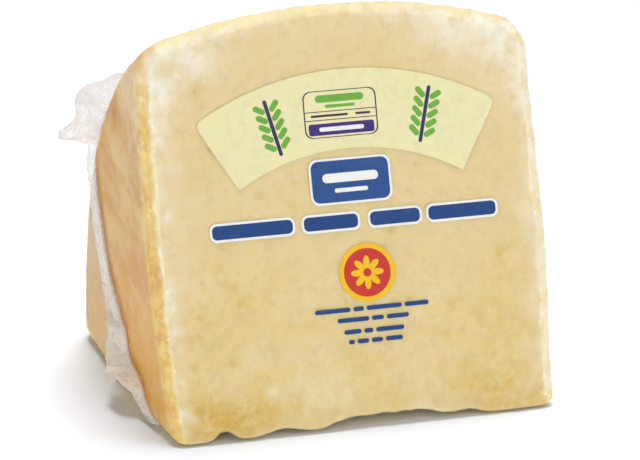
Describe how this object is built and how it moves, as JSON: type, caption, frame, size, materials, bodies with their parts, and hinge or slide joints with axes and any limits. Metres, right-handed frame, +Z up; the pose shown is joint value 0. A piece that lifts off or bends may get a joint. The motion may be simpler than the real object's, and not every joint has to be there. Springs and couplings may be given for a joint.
{
  "type": "vacuum-packed wedge of pecorino sardo",
  "caption": "Wedge of hard sheep's milk cheese in a clinging clear film with a welded hem, standing on a cut face.",
  "frame": {"origin": "middle of the underside of the pack's box, on the surface it stands on", "axes": "+Z up; +X along the axis of the cheese wheel, from one flat face to the other; the printed cut face looks towards -Y and leans back"},
  "size_m": [0.1268, 0.1104, 0.1054],
  "materials": {
    "wrapped_cheese": "pale straw cheese with a tan rind",
    "clear_film": "glossy clear film that clings to the cheese",
    "welded_film": "milky, crumpled double film",
    "print": "matt printed fields of colour"
  },
  "bodies": {
    "root": {"cheese_pack": "wrapped_cheese", "film_hem": "welded_film"}
  },
  "joints": []
}
